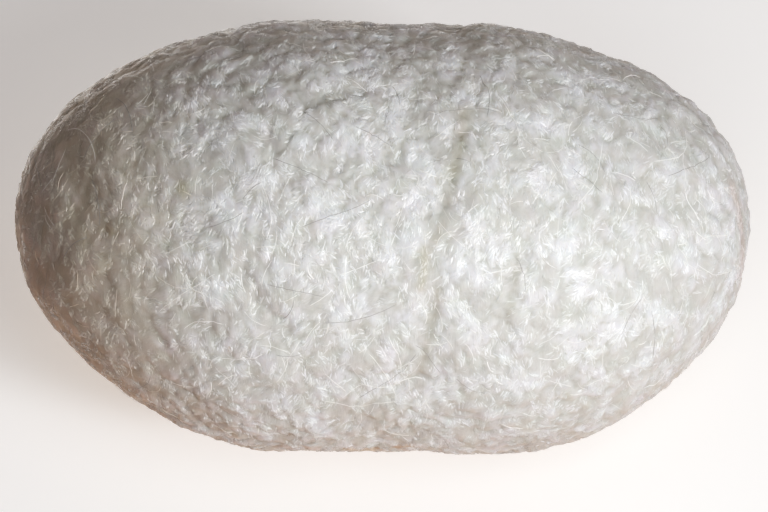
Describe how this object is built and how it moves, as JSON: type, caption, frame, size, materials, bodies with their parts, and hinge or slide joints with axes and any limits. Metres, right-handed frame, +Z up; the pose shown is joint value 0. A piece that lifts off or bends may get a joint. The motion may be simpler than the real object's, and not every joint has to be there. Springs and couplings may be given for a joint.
{
  "type": "silk cocoon",
  "caption": "Closed oval silkworm cocoon of matted white silk, with a crinkled surface, a slight waist and a small flat spot it rests on.",
  "frame": {"origin": "on the flat spot that the cocoon rests on, under the middle of its length and width", "axes": "+X along the cocoon towards its fuller end, +Z up from the flat spot"},
  "size_m": [0.036, 0.0214, 0.0209],
  "materials": {
    "silk": "matted white silk fibre with a soft sheen"
  },
  "bodies": {
    "root": {"cocoon": "silk"}
  },
  "joints": []
}
